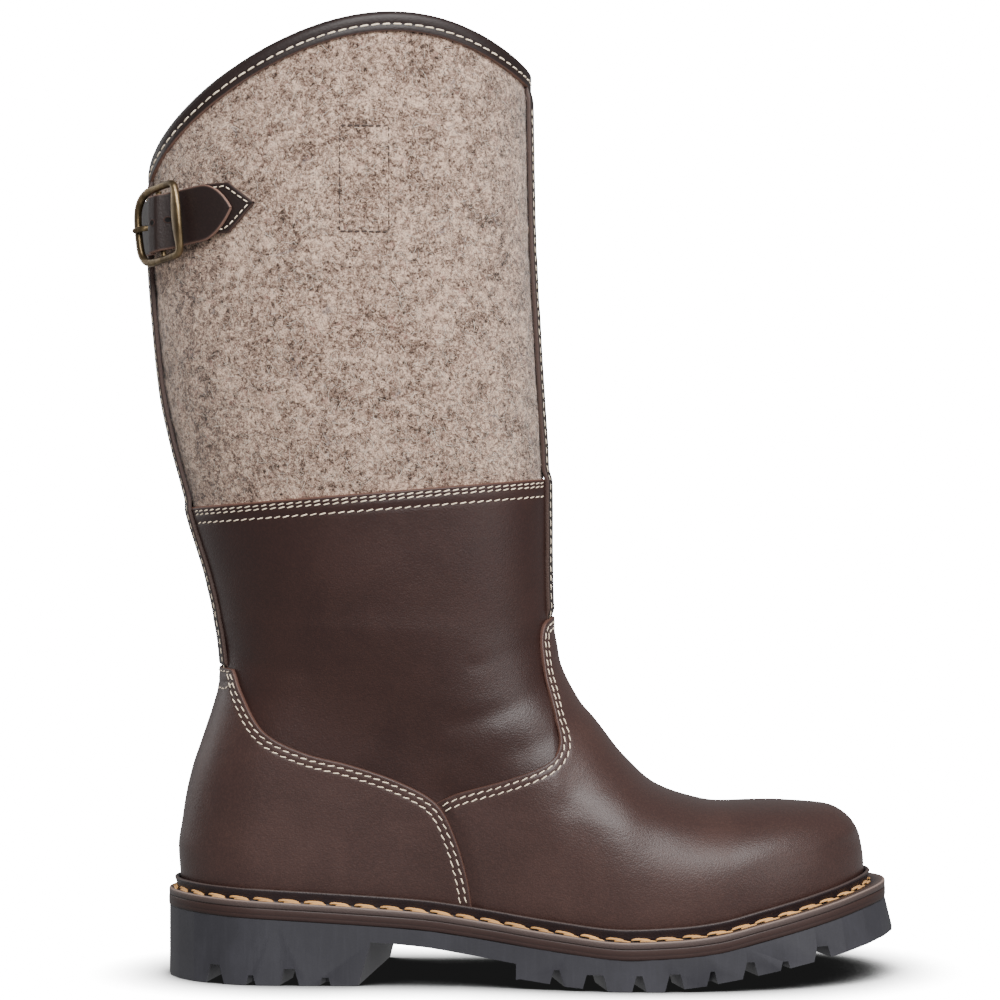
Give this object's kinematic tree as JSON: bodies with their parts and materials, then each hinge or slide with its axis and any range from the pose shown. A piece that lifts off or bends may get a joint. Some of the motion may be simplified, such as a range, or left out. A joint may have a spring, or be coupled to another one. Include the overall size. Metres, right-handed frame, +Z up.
{
  "type": "felt-shaft leather boot",
  "caption": "Tall pull-on leather boot with a thick wool felt upper shaft, curved bound collar, buckled rear strap, stitched storm welt and lugged rubber sole.",
  "frame": {"origin": "middle of the bottom of the boot's box, on the floor that it stands on", "axes": "+X from the heel to the toe, +Y to the wearer's left (medial side), +Z up"},
  "size_m": [0.3242, 0.1104, 0.4017],
  "materials": {
    "rubber": "matt dark grey moulded rubber",
    "midsole": "satin dark brown, edge dressed",
    "welt": "satin dark brown welt with tan stitching",
    "insole": "matt tan board",
    "leather": "satin oiled dark brown leather",
    "trim": "satin dark brown leather with cream stitching",
    "felt": "mottled grey-brown wool felt",
    "brass": "antique brass, dull"
  },
  "bodies": {
    "root": {"outsole": "rubber", "midsole": "midsole", "welt": "welt", "insole": "insole", "upper": "leather", "vamp": "leather", "counter": "leather", "felt_shaft": "felt", "top_binding": "trim", "front_seam": "trim", "back_seam": "trim", "strap": "trim", "strap_anchor": "trim", "buckle_frame": "brass", "buckle_prong": "brass"}
  },
  "joints": []
}
